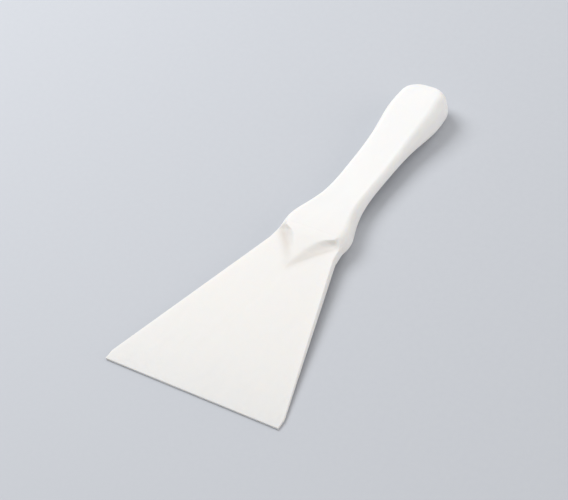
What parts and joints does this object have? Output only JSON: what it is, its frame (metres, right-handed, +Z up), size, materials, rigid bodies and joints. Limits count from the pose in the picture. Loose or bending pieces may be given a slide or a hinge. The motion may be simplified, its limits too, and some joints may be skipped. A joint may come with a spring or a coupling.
{
  "type": "hand scraper",
  "caption": "One-piece moulded hand scraper: wide tapering blade with a thin scraping edge, V-shaped prow and waisted handle with a rounded butt.",
  "frame": {"origin": "on the bench under the middle of the tool as it lies at rest", "axes": "+Z up off the bench, +Y along the tool from the scraping edge to the butt of the handle, +X across the blade"},
  "size_m": [0.1228, 0.268, 0.02],
  "materials": {
    "white_polyethylene": "satin moulded, undyed white"
  },
  "bodies": {
    "root": {"scraper": "white_polyethylene"}
  },
  "joints": []
}
